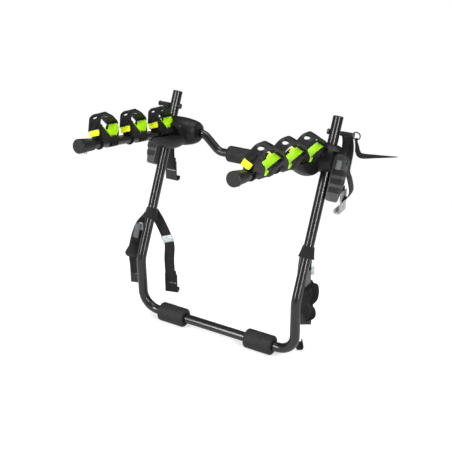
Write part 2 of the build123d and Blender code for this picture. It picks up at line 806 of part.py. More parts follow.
left_face = face_plane(-1, web_turn)
right_face = face_plane(1, face_turn)
left_inner_end = side_of(left_face, left_inner_line[-1], wrap_back)
left_outer_end = side_of(left_face, left_outer_line[-1], wrap_back)
right_outer_end = side_of(right_face, right_outer_line[-1], wrap_back)
right_inner_end = Plane(
    origin=right_face.from_local_coords(
        (right_inner_line[-1][0], right_inner_line[-1][1], -right_inner_back)
    ),
    x_dir=-right_face.x_dir, z_dir=-right_face.z_dir,
)
with BuildPart() as lower_left:
    with BuildSketch(upright_axis[-1].offset(wrap_up - wrap_h / 2)):
        Circle(tube_r + fit_gap + web_t)
    extrude(amount=wrap_h)
    with BuildSketch(left_face.offset(-wrap_back - web_t / 2)):
        with BuildLine():
            FilletPolyline(*left_inner_line, radius=line_bend)
        trace(line_width=web_w)
    extrude(amount=web_t)
    with BuildSketch(left_face.offset(-wrap_back - web_t / 2)):
        with BuildLine():
            FilletPolyline(*left_outer_line, radius=line_bend)
        trace(line_width=web_w)
    extrude(amount=web_t)
    with BuildSketch(left_face.offset(-wrap_back - web_t / 2)):
        with BuildLine():
            FilletPolyline(*left_fold_line, radius=fold_bend)
        trace(line_width=web_t)
    extrude(amount=fold_deep)
    add(turn_back(left_inner_end))
    add(turn_back(left_outer_end))
    with BuildSketch(upright_axis[-1].offset(-upright_len)):
        Circle(tube_r + fit_gap)
    extrude(amount=2 * upright_len, mode=Mode.SUBTRACT)
keep(lower_left.part, "web_lower_left")
with BuildPart() as lower_right:
    with BuildSketch(upright_axis[1].offset(wrap_up - wrap_h / 2)):
        Circle(tube_r + fit_gap + web_t)
    extrude(amount=wrap_h)
    with BuildSketch(right_face.offset(-wrap_back - web_t / 2)):
        with BuildLine():
            Polyline(*right_neck_line)
        trace(line_width=right_neck_w)
    extrude(amount=web_t)
    with BuildSketch(right_face.offset(-wrap_back - web_t / 2)):
        with BuildLine():
            Polyline(*right_outer_line)
        trace(line_width=web_w)
    extrude(amount=web_t)
    with BuildSketch(right_face.offset(-wrap_back - web_t / 2)):
        with BuildLine():
            FilletPolyline(*right_fold_line, radius=fold_bend)
        trace(line_width=web_t)
    extrude(amount=fold_deep)
    with BuildSketch(right_face.offset(-right_inner_back)):
        with BuildLine():
            FilletPolyline(*right_inner_line, radius=end_bend)
        trace(line_width=web_t)
    extrude(amount=web_w / 2, both=True)
    add(turn_back(right_outer_end))
    add(turn_back(right_inner_end))
    with BuildSketch(upright_axis[1].offset(-upright_len)):
        Circle(tube_r + fit_gap)
    extrude(amount=2 * upright_len, mode=Mode.SUBTRACT)
keep(lower_right.part, "web_lower_right")

# Upper straps, looped over the anchor bolts
strap_mid_x = strap_in_x + web_w / 2
eye_in = anchor_d / 2 + run_gap
left_drop = Plane(origin=(-strap_mid_x, anchor.Y, anchor.Z), x_dir=(0, 1, 0), z_dir=(1, 0, 0))
right_drop = Plane(origin=(strap_mid_x, anchor.Y, anchor.Z), x_dir=(0, 1, 0), z_dir=(1, 0, 0))
top_left_end = Plane(
    origin=left_drop.from_local_coords((*top_left_line[-1], 0)), x_dir=(0, -1, 0), z_dir=(-1, 0, 0),
)
top_right_end = Plane(
    origin=(strap_mid_x, anchor.Y + top_right_back, anchor.Z - top_right_down), x_dir=(1, 0, 0),
    z_dir=(0, -1, 0),
)
with BuildPart() as top_left:
    with BuildSketch(left_drop):
        with BuildLine():
            FilletPolyline((eye_in + web_t / 2, 0), *top_left_line, radius=end_bend)
        trace(line_width=web_t)
        Circle(eye_in + web_t)
        Circle(eye_in, mode=Mode.SUBTRACT)
    extrude(amount=web_w / 2, both=True)
    add(turn_back(top_left_end))
keep(top_left.part, "web_top_left")
with BuildPart() as top_right:
    with BuildSketch(right_drop):
        with BuildLine():
            Polyline(
                (eye_in + web_t / 2, 0), (top_right_back, -top_right_twist_start),
                (top_right_back, -top_right_twist_start - web_t),
            )
        trace(line_width=web_t)
        Circle(eye_in + web_t)
        Circle(eye_in, mode=Mode.SUBTRACT)
    extrude(amount=web_w / 2, both=True)
    twist_top = Plane(
        origin=(strap_mid_x, anchor.Y + top_right_back, anchor.Z - top_right_twist_start - web_t),
        x_dir=(1, 0, 0), z_dir=(0, 0, -1),
    )
    twist_drop = top_right_down - top_right_line[0][1] - top_right_twist_start - web_t
    with BuildSketch(twist_top):
        Rectangle(web_w, web_t)
    with BuildSketch(twist_top.offset(twist_drop)):
        Rectangle(web_t, web_w)
    loft()
    with BuildSketch(top_right_end):
        with BuildLine():
            FilletPolyline(*top_right_line, radius=[fold_bend, end_bend, fold_bend])
        trace(line_width=web_t)
    extrude(amount=web_w / 2, both=True)
    add(turn_back(top_right_end))
keep(top_right.part, "web_top_right")
ring_face = Plane(origin=(anchor_end_x + ring_r, anchor.Y, anchor.Z), x_dir=(1, 0, 0), z_dir=(0, -1, 0))
with BuildPart() as side_strap:
    with BuildSketch(ring_face):
        with BuildLine():
            Polyline(*side_strap_line, close=True)
        make_face()
    extrude(amount=web_t / 2, both=True)
    with BuildSketch(
        Plane(origin=ring_face.from_local_coords((-side_eye_w / 2, -ring_r, 0)), z_dir=(1, 0, 0))
    ):
        Circle(ring_wire / 2 + side_eye_gap + web_t)
        Circle(ring_wire / 2 + side_eye_gap, mode=Mode.SUBTRACT)
    extrude(amount=side_eye_w)
keep(side_strap.part, "web_side_right")

hang_hook(left_inner_end, "strap_hook_inner_left")
hang_hook(left_outer_end, "strap_hook_outer_left")
hang_hook(right_inner_end, "strap_hook_inner_right")
hang_hook(right_outer_end, "strap_hook_outer_right")
hang_hook(top_left_end, "strap_hook_top_left")
hang_hook(top_right_end, "strap_hook_top_right")

# Buckles and blank tags on the lower straps
with BuildPart() as buckles:
    with BuildSketch(left_face.offset(web_t / 2 - wrap_back)):
        with Locations(Location((*buckle_left_spot, 0), (0, 0, -buckle_left_tilt))):
            RectangleRounded(buckle_w, buckle_h, buckle_round)
    extrude(amount=buckle_t)
    with BuildSketch(right_face.offset(web_t / 2 - wrap_back)):
        with Locations(buckle_right_spot):
            RectangleRounded(buckle_w, buckle_h, buckle_round)
    extrude(amount=buckle_t)
    for side in (-1, 1):
        with BuildSketch(upright_axis[side].offset(-upright_len)):
            Circle(tube_r + run_gap)
        extrude(amount=2 * upright_len, mode=Mode.SUBTRACT)
    add(lower_left.part, mode=Mode.SUBTRACT)
    add(lower_right.part, mode=Mode.SUBTRACT)
keep(buckles.part, "strap_buckles")
with BuildPart() as labels:
    with BuildSketch(left_face.offset(-wrap_back - web_t / 2 - label_t)):
        with Locations(Location((*label_spot, 0), (0, 0, label_tilt))):
            Rectangle(label_w, label_h)
    extrude(amount=web_t + 2 * label_t)
    add(lower_left.part, mode=Mode.SUBTRACT)
    with BuildSketch(left_face.offset(web_t / 2 - wrap_back)):
        with Locations(tag_left_spot):
            Rectangle(tag_w, tag_h)
    extrude(amount=label_t)
    with BuildSketch(right_face.offset(-wrap_back - web_t / 2)):
        with Locations(tag_right_spot):
            Rectangle(tag_w, tag_h)
    extrude(amount=label_t)
    add(lower_right.part, mode=Mode.SUBTRACT)
    add(buckles.part, mode=Mode.SUBTRACT)
keep(labels.part, "strap_labels")
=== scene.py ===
import json
import math
from collections import namedtuple

import bmesh
import bpy
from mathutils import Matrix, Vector, noise
from mathutils.bvhtree import BVHTree


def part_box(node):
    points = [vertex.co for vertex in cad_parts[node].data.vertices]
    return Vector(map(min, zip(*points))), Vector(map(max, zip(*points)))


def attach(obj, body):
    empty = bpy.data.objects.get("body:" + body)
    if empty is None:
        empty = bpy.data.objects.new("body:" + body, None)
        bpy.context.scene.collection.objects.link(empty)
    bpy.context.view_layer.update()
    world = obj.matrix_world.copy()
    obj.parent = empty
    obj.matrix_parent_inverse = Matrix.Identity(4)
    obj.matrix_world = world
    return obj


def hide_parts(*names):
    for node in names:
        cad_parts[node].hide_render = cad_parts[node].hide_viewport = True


# Dressed scene of the trunk mounted bike rack. Lengths are metres in the CAD model's frame:
# X runs along the bars, Y points to the car, Z is up, and the origin is the middle of the
# lower bar's axis. The CAD nodes stay where they are and get materials; the webbing, the
# labels and the foam are replaced by finer pieces, and thin trim is added.
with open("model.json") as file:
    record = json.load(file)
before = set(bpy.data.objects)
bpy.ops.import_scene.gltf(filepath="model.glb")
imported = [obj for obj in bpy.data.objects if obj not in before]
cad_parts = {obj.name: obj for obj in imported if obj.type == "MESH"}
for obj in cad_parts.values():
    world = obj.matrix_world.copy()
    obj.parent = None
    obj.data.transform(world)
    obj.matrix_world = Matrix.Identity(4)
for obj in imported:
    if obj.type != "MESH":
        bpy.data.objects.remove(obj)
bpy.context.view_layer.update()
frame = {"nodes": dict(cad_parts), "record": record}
nodes = frame["nodes"]

X_AXIS = Vector((1, 0, 0))
Y_AXIS = Vector((0, 1, 0))
UP = Vector((0, 0, 1))
SIDES = ((-1, "left"), (1, "right"))

# Camera, fitted to the photograph
CAMERA_AZIMUTH = math.radians(30.0)
CAMERA_ELEVATION = math.radians(25.1)
CAMERA_DISTANCE = 1.644
CAMERA_TARGET = Vector((0.0279, 0.0, 0.2645))
CAMERA_LENS = 61.25
CAMERA_SENSOR = 36.0
CAMERA_NEAR = 0.05

# Frame sizes shared with the CAD source
UPRIGHT_X = 0.200
LEG_HEIGHT = 0.127
LEG_SETBACK = 0.0033
UPRIGHT_LEAN = math.radians(25.9)
UPRIGHT_LEN = 0.399
PIVOT_UP = 0.312
TUBE_R = 0.011
ARM_R = 0.0095
ANCHOR_DOWN = 0.032
ANCHOR_R = 0.003
FLOOR_Z = -0.02225

KNEE = Vector((UPRIGHT_X, -LEG_SETBACK, LEG_HEIGHT))
LEAN_DIR = Vector((0, math.sin(UPRIGHT_LEAN), math.cos(UPRIGHT_LEAN)))
FORE_DIR = Vector((0, -math.cos(UPRIGHT_LEAN), math.sin(UPRIGHT_LEAN)))
PIVOT = KNEE + LEAN_DIR * PIVOT_UP
ANCHOR = KNEE + LEAN_DIR * (UPRIGHT_LEN - ANCHOR_DOWN)

# Webbing and hook sizes shared with the CAD source
WEB_W = 0.025
WEB_T = 0.002
RUN_GAP = 0.0003
WRAP_UP = 0.110
WRAP_H = 0.026
WRAP_BACK = 0.003
HOOK_T = 0.0026
HOOK_TAIL = 0.030
HOOK_BACK = WEB_T / 2 + RUN_GAP + HOOK_T / 2
LEFT_FACE_TURN = math.radians(14.0)
RIGHT_FACE_TURN = math.radians(30.0)

# Cradle sizes shared with the CAD source
ARM_X = 0.170
ARM_RISE = math.radians(10.9)
CRADLE_COUNT = 3
CRADLE_NEAR = 0.078
CRADLE_STEP = 0.101
CRADLE_ROLL = math.radians(20.0)
CRADLE_YAW = math.radians(12.0)
SADDLE_W = 0.024


def mirrored(side, vector):
    """The vector as it is on the right (side 1), or mirrored to the left (side -1)."""
    return Vector((side * vector.x, vector.y, vector.z))


def beside_pivot(side, x):
    """The point of the arms' fold axis that lies x to a side."""
    return Vector((side * x, PIVOT.y, PIVOT.z))


# ---- materials -------------------------------------------------------------

def add_node(tree, kind, **settings):
    """Adds a shader node; each setting is a socket's value, or else a property of the node."""
    made = tree.nodes.new(kind)
    for key, value in settings.items():
        if key in made.inputs:
            made.inputs[key].default_value = value
        else:
            setattr(made, key, value)
    return made


def multiply(tree, first, second):
    """The product of two outputs, or of an output and a number."""
    made = add_node(tree, "ShaderNodeMath", operation="MULTIPLY")
    for socket, value in zip(made.inputs, (first, second)):
        if isinstance(value, float):
            socket.default_value = value
        else:
            tree.links.new(value, socket)
    return made.outputs[0]


MOTTLE_STOPS = (0.3, 0.7)  # noise values at which the lower and the higher share are reached


class Shader:
    """A Principled material with its node tree at hand."""

    def __init__(
        self, name, color, roughness, metallic=0.0, specular=0.5, coat=0.0, coat_roughness=0.1
    ):
        self.material = bpy.data.materials.new(name)
        self.material.use_nodes = True
        self.tree = self.material.node_tree
        self.bsdf = self.tree.nodes["Principled BSDF"]
        self.color = color
        sockets = {
            "Base Color": (*color, 1.0),
            "Roughness": roughness,
            "Metallic": metallic,
            "Specular IOR Level": specular,
            "Coat Weight": coat,
            "Coat Roughness": coat_roughness,
        }
        for key, value in sockets.items():
            self.bsdf.inputs[key].default_value = value

    def link(self, source, target):
        self.tree.links.new(source, target)

    def coordinates(self, kind="Object"):
        return add_node(self.tree, "ShaderNodeTexCoord").outputs[kind]

    def noise(self, scale, detail=3.0):
        made = add_node(self.tree, "ShaderNodeTexNoise", Scale=scale, Detail=detail)
        self.link(self.coordinates(), made.inputs["Vector"])
        return made.outputs["Fac"]

    def mottle(self, factor, low, high):
        """Base colour that varies between two shares of the plain colour."""
        ramp = add_node(self.tree, "ShaderNodeValToRGB")
        for stop, position, share in zip(ramp.color_ramp.elements, MOTTLE_STOPS, (low, high)):
            stop.position = position
            stop.color = (*(min(c * share, 1.0) for c in self.color), 1)
        self.link(factor, ramp.inputs["Fac"])
        self.link(ramp.outputs["Color"], self.bsdf.inputs["Base Color"])

    def vary_roughness(self, factor, low, high):
        span = add_node(self.tree, "ShaderNodeMapRange", **{"To Min": low, "To Max": high})
        self.link(factor, span.inputs["Value"])
        self.link(span.outputs["Result"], self.bsdf.inputs["Roughness"])

    def bump(self, height, distance, strength):
        made = add_node(self.tree, "ShaderNodeBump", Strength=strength, Distance=distance)
        self.link(height, made.inputs["Height"])
        self.link(made.outputs["Normal"], self.bsdf.inputs["Normal"])


def powder_coat():
    """Black powder coat with a soft gloss, on the bent tubes."""
    s = Shader(
        "gloss_black_coat", (0.005, 0.005, 0.0055), 0.3,
        specular=0.35, coat=0.65, coat_roughness=0.21,
    )
    s.mottle(s.noise(scale=40.0), low=0.8, high=1.2)
    s.vary_roughness(s.noise(scale=25.0), low=0.26, high=0.34)
    return s.material


def moulded(name, color, roughness, specular=0.4):
    """Moulded plastic with a fine grain."""
    s = Shader(name, color, roughness, specular=specular)
    s.mottle(s.noise(scale=45.0), low=0.82, high=1.2)
    s.vary_roughness(s.noise(scale=120.0), low=roughness - 0.06, high=roughness + 0.08)
    s.bump(s.noise(scale=1800.0, detail=2.0), distance=0.00006, strength=0.6)
    return s.material


def foam():
    """Closed-cell foam with fine cells in its skin."""
    s = Shader("closed_cell_foam", (0.021, 0.0195, 0.019), 0.62, specular=0.35)
    s.mottle(s.noise(scale=160.0, detail=5.0), low=0.7, high=1.45)
    cells = add_node(s.tree, "ShaderNodeTexVoronoi", Scale=1400.0)
    s.link(s.coordinates(), cells.inputs["Vector"])
    s.bump(cells.outputs["Distance"], distance=0.00012, strength=0.5)
    return s.material


def rubber(name, color, roughness, specular=0.4):
    """Moulded rubber, nearly even in colour."""
    s = Shader(name, color, roughness, specular=specular)
    s.mottle(s.noise(scale=70.0), low=0.93, high=1.05)
    s.vary_roughness(s.noise(scale=200.0), low=roughness - 0.05, high=roughness + 0.08)
    s.bump(s.noise(scale=1500.0, detail=2.0), distance=0.00004, strength=0.5)
    return s.material


def metal(name, color, roughness):
    """Bare or plated steel."""
    s = Shader(name, color, roughness, metallic=1.0)
    s.vary_roughness(s.noise(scale=300.0), low=roughness - 0.08, high=roughness + 0.12)
    s.bump(s.noise(scale=2500.0, detail=2.0), distance=0.00002, strength=0.4)
    return s.material


def dipped(name, color, roughness):
    """Steel dipped in soft plastic."""
    s = Shader(name, color, roughness, specular=0.5, coat=0.2, coat_roughness=0.25)
    s.mottle(s.noise(scale=90.0), low=0.85, high=1.15)
    s.bump(s.noise(scale=700.0, detail=2.0), distance=0.00005, strength=0.5)
    return s.material


PICK_SHARE = 1.4  # pitch of the picks across a tape, in pitches of its ribs


def webbing(name, color, rib=0.0011):
    """Woven tape: ribs along it and picks across, from the piece's own UV in metres."""
    s = Shader(name, color, 0.7, specular=0.25)
    s.bsdf.inputs["Sheen Weight"].default_value = 0.15
    split = add_node(s.tree, "ShaderNodeSeparateXYZ")
    s.link(s.coordinates("UV"), split.inputs["Vector"])
    waves = []
    for axis, pitch in (("X", rib), ("Y", rib * PICK_SHARE)):
        wave = add_node(s.tree, "ShaderNodeMath", operation="SINE")
        s.link(multiply(s.tree, split.outputs[axis], 2 * math.pi / pitch), wave.inputs[0])
        waves.append(wave.outputs[0])
    s.mottle(s.noise(scale=220.0, detail=4.0), low=0.7, high=1.5)
    s.bump(multiply(s.tree, *waves), distance=0.0002, strength=0.7)
    return s.material


# Materials by the record's slots: name, colour, roughness and, for some, specular level
PAINT = {
    "tube_black": powder_coat(),
    "hub_black": moulded("moulded_black", (0.008, 0.0078, 0.008), 0.42, 0.3),
    "plug_black": moulded("plug_black", (0.014, 0.014, 0.014), 0.5),
    "cradle_black": moulded("cradle_black", (0.008, 0.008, 0.0085), 0.36, 0.35),
    "lever_grey": moulded("lever_grey", (0.05, 0.051, 0.054), 0.42),
    "cap_black": rubber("cap_black", (0.01, 0.01, 0.011), 0.42),
    "grip_black": rubber("grip_black", (0.008, 0.008, 0.008), 0.55),
    "strap_black": rubber("ladder_black", (0.009, 0.009, 0.0095), 0.4, 0.35),
    "liner_green": rubber("liner_green", (0.42, 0.86, 0.004), 0.45, 0.3),
    "tab_yellow": rubber("tab_yellow", (0.84, 1.0, 0.01), 0.42, 0.3),
    "screw_steel": metal("screw_steel", (0.5, 0.5, 0.52), 0.3),
    "bolt_steel": metal("bolt_steel", (0.55, 0.55, 0.57), 0.28),
    "hardware_black": dipped("hardware_black", (0.015, 0.015, 0.015), 0.35),
    "hook_black": dipped("hook_black", (0.012, 0.012, 0.012), 0.4),
    "hook_grey": dipped("hook_grey", (0.46, 0.46, 0.49), 0.35),
    "buckle_grey": dipped("buckle_grey", (0.13, 0.135, 0.15), 0.35),
    "foam_black": foam(),
    "web_black": webbing("web_black", (0.010, 0.009, 0.0085)),
    "label_blank": webbing("label_blank", (0.62, 0.78, 0.84), rib=0.0005),
}

# Materials of the trim that has no CAD node
PANEL = moulded("lever_panel", (0.2, 0.205, 0.21), 0.35)
SCREW = metal("hub_screw", (0.1, 0.1, 0.1), 0.45)
# Hub seam line: the seam is real, but its darker matte black is painted shade of the seam's groove
SEAM_SHADE = moulded("hub_seam_shade", (0.002, 0.002, 0.002), 0.8)
THREAD = moulded("seam_thread", (0.07, 0.066, 0.06), 0.7)

for entry in frame["record"]["subparts"]:
    slots = nodes[entry["node"]].data.materials
    slots.clear()
    slots.append(PAINT[entry["material_slot"]])

# Even normals on the tubes, so that their highlights run straight
WELD_REACH = 0.000002
for name in ("lower_frame", "upper_frame"):
    weld = nodes[name].modifiers.new("weld", "WELD")
    weld.merge_threshold = WELD_REACH
    even = nodes[name].modifiers.new("even_normals", "WEIGHTED_NORMAL")
    even.keep_sharp = False


# ---- mesh helpers ----------------------------------------------------------

def add_mesh(name, bm, material, body, replaced=None):
    """Finishes a mesh as a shown piece that rides on a body and may replace a CAD node."""
    bmesh.ops.recalc_face_normals(bm, faces=bm.faces)
    mesh = bpy.data.meshes.new(name)
    bm.to_mesh(mesh)
    bm.free()
    mesh.materials.append(material)
    for face in mesh.polygons:
        face.use_smooth = True
    piece = bpy.data.objects.new(name, mesh)
    bpy.context.scene.collection.objects.link(piece)
    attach(piece, body)
    if replaced:
        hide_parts(replaced)
    return piece


def skin(bm, rows, uv_of=None, caps=True):
    """Joins closed rows of vertices with quads, and closes the first and last row if caps is set.

    uv_of(row, step) gives a corner's UV. On the face that closes a row, step runs one past
    the last vertex.
    """
    uv = bm.loops.layers.uv.verify() if uv_of else None

    def add_face(vertices, corners):
        face = bm.faces.new(vertices)
        if uv_of:
            for loop, corner in zip(face.loops, corners):
                loop[uv].uv = uv_of(*corner)

    size = len(rows[0])
    for i in range(len(rows) - 1):
        for j in range(size):
            k = (j + 1) % size
            add_face(
                (rows[i][j], rows[i][k], rows[i + 1][k], rows[i + 1][j]),
                ((i, j), (i, j + 1), (i + 1, j + 1), (i + 1, j)),
            )
    if caps:
        for i in (0, len(rows) - 1):
            add_face(rows[i], [(i, j) for j in range(size)])


def smooth_line(points, per_span):
    """Points along a Catmull-Rom curve through these points."""
    out = []
    last = len(points) - 1
    for i in range(last):
        before, start, end = points[max(i - 1, 0)], points[i], points[i + 1]
        after = points[min(i + 2, last)]
        linear = end - before
        square = 2 * before - 5 * start + 4 * end - after
        cube = 3 * start - before - 3 * end + after
        for step in range(per_span):
            t = step / per_span
            out.append(0.5 * ((2 * start) + linear * t + square * t * t + cube * t ** 3))
    out.append(points[-1])
    return out


def heading(line, i):
    """Direction of a line at its point i."""
    return (line[min(i + 1, len(line) - 1)] - line[max(i - 1, 0)]).normalized()


TAPE_STEPS = 6  # faces across a tape
TAPE_EDGE_LOSS = 0.45  # share of its thickness that a tape's rounded edge has lost
TAPE_EDGE_POWER = 8
TAPE_WAVES = 95.0  # radians of slack wave for each metre


def ribbon(bm, line, side, width, thick, wave=0.0):
    """Adds a woven tape to bm: a closed rounded strip along the line, with its width along side.

    side is one direction or one per point; wave is the depth of its slack waves.
    """
    sides = side if isinstance(side, list) else [side] * len(line)
    half = width / 2
    rows, places = [], []
    run = 0.0
    for i, point in enumerate(line):
        if i:
            run += (point - line[i - 1]).length
        ahead = heading(line, i)
        wide = (sides[i] - ahead * sides[i].dot(ahead)).normalized()
        normal = ahead.cross(wide).normalized()
        bow = wave * math.sin(run * TAPE_WAVES)
        row, place = [], []
        for level, steps in ((1, range(TAPE_STEPS + 1)), (-1, range(TAPE_STEPS, -1, -1))):
            for step in steps:
                u = step / TAPE_STEPS * 2 - 1
                edge = 1 - TAPE_EDGE_LOSS * abs(u) ** TAPE_EDGE_POWER
                lift = level * thick / 2 * edge + bow * (1 - u * u)
                row.append(bm.verts.new(point + wide * half * u + normal * lift))
                place.append((u * half, run))
        rows.append(row)
        places.append(place)
    skin(bm, rows, lambda i, j: places[i][j % len(places[i])])


# ---- lower straps ----------------------------------------------------------

Face = namedtuple("Face", "origin across normal")


def face_frame(side, turn):
    """The upright plane in which a side's lower straps hang."""
    across = Vector((math.cos(turn), math.sin(turn), 0))
    return Face(mirrored(side, KNEE + LEAN_DIR * WRAP_UP), across, across.cross(UP))


def in_face(face, spots, back):
    """Points at (across, up) in a face, set back by a spot's third value, or else by back."""
    return [
        face.origin + face.across * s[0] + UP * s[1] - face.normal * (s[2] if len(s) > 2 else back)
        for s in spots
    ]


def patch(bm, face, outline, back, thick):
    """Adds a flat piece of tape with this outline in a face to bm."""
    uv = bm.loops.layers.uv.verify()
    points = in_face(face, outline, back)
    front = [bm.verts.new(p + face.normal * thick / 2) for p in points]
    rear = [bm.verts.new(p - face.normal * thick / 2) for p in points]
    made = [bm.faces.new(front), bm.faces.new(rear)]
    for i in range(len(points)):
        k = (i + 1) % len(points)
        made.append(bm.faces.new((front[i], front[k], rear[k], rear[i])))
    for polygon in made:
        for loop in polygon.loops:
            spot = loop.vert.co - face.origin
            loop[uv].uv = (spot.dot(face.across), spot.z)


WRAP_STEPS = 40
WRAP_LEVELS = 8
WRAP_SKIN = 0.00205  # the wrap's outer face above the tube
WRAP_LINING = 0.0001  # its inner edge above the tube
WRAP_EASE = 0.0002  # how far its rims draw in
WRAP_EASE_POWER = 6
WRAP_FLARE = 0.0055  # how far it opens at the bottom, towards its sides
WRAP_FLARE_DOWN = 1.3
WRAP_FLARE_ROUND = 3


def wrap(bm, side):
    """Adds the turn of webbing round an upright, flared where its straps leave the tube."""
    foot = mirrored(side, KNEE)
    angles = [2 * math.pi * step / WRAP_STEPS for step in range(WRAP_STEPS)]

    def outside(level, angle):
        share = level / WRAP_LEVELS
        down = (1 - share) ** WRAP_FLARE_DOWN
        flare = WRAP_FLARE * down * abs(math.cos(angle)) ** WRAP_FLARE_ROUND
        return TUBE_R + WRAP_SKIN + flare - WRAP_EASE * abs(2 * share - 1) ** WRAP_EASE_POWER

    def lining(level, angle):
        return TUBE_R + WRAP_LINING

    def row(level, radius):
        """Vertices round the upright at a level, at the radius that a function gives."""
        height = WRAP_UP - WRAP_H / 2 + WRAP_H * level / WRAP_LEVELS
        middle = foot + LEAN_DIR * height
        ring = []
        for angle in angles:
            out = X_AXIS * math.cos(angle) + FORE_DIR * math.sin(angle)
            ring.append(bm.verts.new(middle + out * radius(level, angle)))
        return ring

    outer = [row(level, outside) for level in range(WRAP_LEVELS + 1)]
    bottom, top = row(0, lining), row(WRAP_LEVELS, lining)
    rise = WRAP_H / WRAP_LEVELS
    turn = 2 * math.pi * TUBE_R / WRAP_STEPS
    skin(bm, [bottom] + outer + [top], lambda i, j: (i * rise, j * turn), caps=False)


# Up and back from the lower end of a strap, through its hook's slot and up behind the plate
TURN_ROUTE = (
    (0.006, 0.0), (0.0008, 0.0004), (-0.0002, HOOK_BACK), (0.0008, 2 * HOOK_BACK - 0.0004),
    (0.008, 2 * HOOK_BACK), (HOOK_TAIL, 2 * HOOK_BACK),
)


def turned_end(bm, end, normal, side):
    """Adds the end of a strap, turned round its hook."""
    points = [end + UP * up - normal * back for up, back in TURN_ROUTE]
    ribbon(bm, smooth_line(points, per_span=6), side, WEB_W, WEB_T)


def hooked_strap(bm, points, side, normal, per_span, wave):
    """Adds a strap through these points, with its end turned round its hook."""
    line = smooth_line(points, per_span)
    ribbon(bm, line, side, WEB_W, WEB_T, wave)
    turned_end(bm, line[-1], normal, side)


# Routes of the lower straps: across and up in their face, and for some points back from it
LEFT_INNER = (
    (0.001, 0.001, 0.0128), (0.018, -0.024, 0.0085), (0.036, -0.058), (0.042, -0.080),
    (0.040, -0.120), (0.042, -0.180),
)
LEFT_OUTER = (
    (-0.001, 0.001, 0.0128), (-0.016, -0.018, 0.0085), (-0.031, -0.038), (-0.045, -0.076),
    (-0.052, -0.114), (-0.048, -0.168),
)
LEFT_FLAP = (
    (-0.032, -0.084), (-0.036, -0.121), (-0.050, -0.1225), (-0.062, -0.122), (-0.069, -0.119),
    (-0.0715, -0.112), (-0.069, -0.105), (-0.056, -0.084),
)
FLAP_LAYERS = 2
FLAP_PITCH = 1.1 * WEB_T
FLAP_T = 0.9 * WEB_T
RIGHT_NECK = ((0.005, -0.008), (0.004, -0.050), (0.002, -0.094))
RIGHT_NECK_W = 0.012
RIGHT_OUTER = ((0.002, -0.084), (0.001, -0.130), (0.001, -0.155))
RIGHT_FOLD = (
    (0.000, -0.084), (0.014, -0.070), (0.020, -0.080), (0.019, -0.104), (0.009, -0.120),
    (0.015, -0.134), (0.015, -0.150), (0.000, -0.160),
)
FOLD_DEEP = 0.020
FOLD_NORMAL, FOLD_ACROSS = 0.75, 0.66  # direction of its width, in shares of the face's axes
RIGHT_INNER = ((-0.0085, -0.002), (-0.016, -0.060), (-0.016, -0.217))
RIGHT_INNER_BACK = 0.016

left = face_frame(-1, LEFT_FACE_TURN)
right = face_frame(1, RIGHT_FACE_TURN)

bm = bmesh.new()
wrap(bm, -1)
for route in (LEFT_INNER, LEFT_OUTER):
    points = in_face(left, route, WRAP_BACK)
    hooked_strap(bm, points, left.across, left.normal, per_span=14, wave=0.0003)
for layer in range(1, FLAP_LAYERS + 1):
    patch(bm, left, LEFT_FLAP, WRAP_BACK - layer * FLAP_PITCH, FLAP_T)
add_mesh(
    "webbing_lower_left", bm, PAINT["web_black"], "frame", replaced="web_lower_left"
)

bm = bmesh.new()
wrap(bm, 1)
neck = smooth_line(in_face(right, RIGHT_NECK, WRAP_BACK), per_span=10)
ribbon(bm, neck, right.across, RIGHT_NECK_W, WEB_T)
points = in_face(right, RIGHT_OUTER, WRAP_BACK)
hooked_strap(bm, points, right.across, right.normal, per_span=10, wave=0.0002)
fold_side = (right.normal * FOLD_NORMAL + right.across * FOLD_ACROSS).normalized()
points = [p + right.normal * FOLD_DEEP / 2 for p in in_face(right, RIGHT_FOLD, WRAP_BACK)]
ribbon(bm, smooth_line(points, per_span=8), fold_side, FOLD_DEEP, WEB_T)
points = in_face(right, RIGHT_INNER, RIGHT_INNER_BACK)
hooked_strap(bm, points, right.normal, -right.across, per_span=16, wave=0.0003)
add_mesh(
    "webbing_lower_right", bm, PAINT["web_black"], "frame", replaced="web_lower_right"
)


# ---- top straps ------------------------------------------------------------

STRAP_MID_X = UPRIGHT_X + TUBE_R + WEB_T + WEB_W / 2
EYE_R = ANCHOR_R + RUN_GAP + WEB_T / 2
EYE_STEPS = 24

# Route of the left strap from its anchor bolt: back and up
TOP_LEFT = ((EYE_R, 0.0), (0.0085, -0.014), (0.011, -0.030), (0.011, -0.100), (0.011, -0.167))

# The right strap's lower end from its bolt, then its stations up from that end: offset, and
# the direction of its width, which turns a quarter on the way
TOP_RIGHT_BACK = 0.015
TOP_RIGHT_DOWN = 0.155
TOP_RIGHT = (
    ((0, EYE_R - TOP_RIGHT_BACK, TOP_RIGHT_DOWN), X_AXIS),
    ((0, -0.002, TOP_RIGHT_DOWN - 0.020), X_AXIS),
    ((0, 0, TOP_RIGHT_DOWN - 0.036), (X_AXIS + Y_AXIS * 0.4).normalized()),
    ((0.001, 0, 0.092), (X_AXIS + Y_AXIS * 1.6).normalized()),
    ((0.004, 0, 0.066), Y_AXIS),
    ((0.010, 0, 0.049), Y_AXIS),
    ((0.0145, 0, 0.026), Y_AXIS),
    ((0.008, 0, 0.010), Y_AXIS),
    ((0.0, 0, 0.003), Y_AXIS),
)


def eye(bm, centre, radius, steps, width):
    """Adds a closed turn of tape about an axis along X."""
    line = []
    for step in range(steps + 1):
        angle = 2 * math.pi * step / steps
        line.append(centre + (Y_AXIS * math.cos(angle) + UP * math.sin(angle)) * radius)
    ribbon(bm, line, X_AXIS, width, WEB_T)


